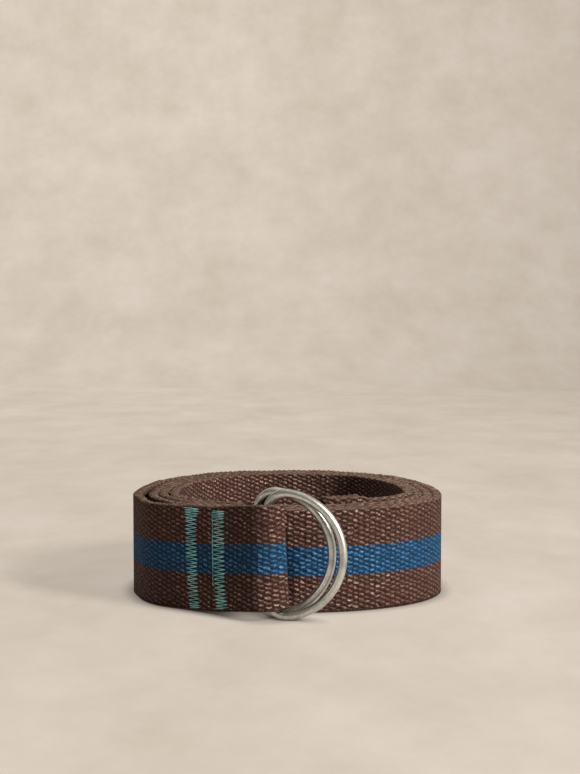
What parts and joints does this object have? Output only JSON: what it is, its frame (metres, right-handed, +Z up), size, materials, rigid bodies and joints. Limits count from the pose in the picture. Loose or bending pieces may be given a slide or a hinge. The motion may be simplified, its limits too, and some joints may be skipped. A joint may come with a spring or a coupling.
{
  "type": "web belt",
  "caption": "Woven webbing belt with a centre stripe, rolled up on its edge; its outer end is folded through D-rings and sewn, its inner end is a thick hem.",
  "frame": {"origin": "on the table under the middle of the whole belt, rings included", "axes": "+Z up, along the web's width; +Y from the rings at the front to the back of the roll; +X to the right, the way the rings' bows point"},
  "size_m": [0.12, 0.1394, 0.047],
  "materials": {
    "webbing": "matt",
    "ring_wire": "satin"
  },
  "bodies": {
    "strap": {"web_strap": "webbing"},
    "front_ring": {"front_d_ring": "ring_wire"},
    "back_ring": {"back_d_ring": "ring_wire"}
  },
  "joints": [
    {"name": "front_ring_swing", "type": "hinge", "parent": "strap", "child": "front_ring", "pos_m": [-0.007, -0.06246, 0.0235], "axis": [0, 0, -1], "range_deg": [0, 140]},
    {"name": "back_ring_swing", "type": "hinge", "parent": "strap", "child": "back_ring", "pos_m": [-0.0108, -0.05806, 0.0236], "axis": [0.0137, -0.0027, 0.9999], "range_deg": [0, 20]}
  ]
}
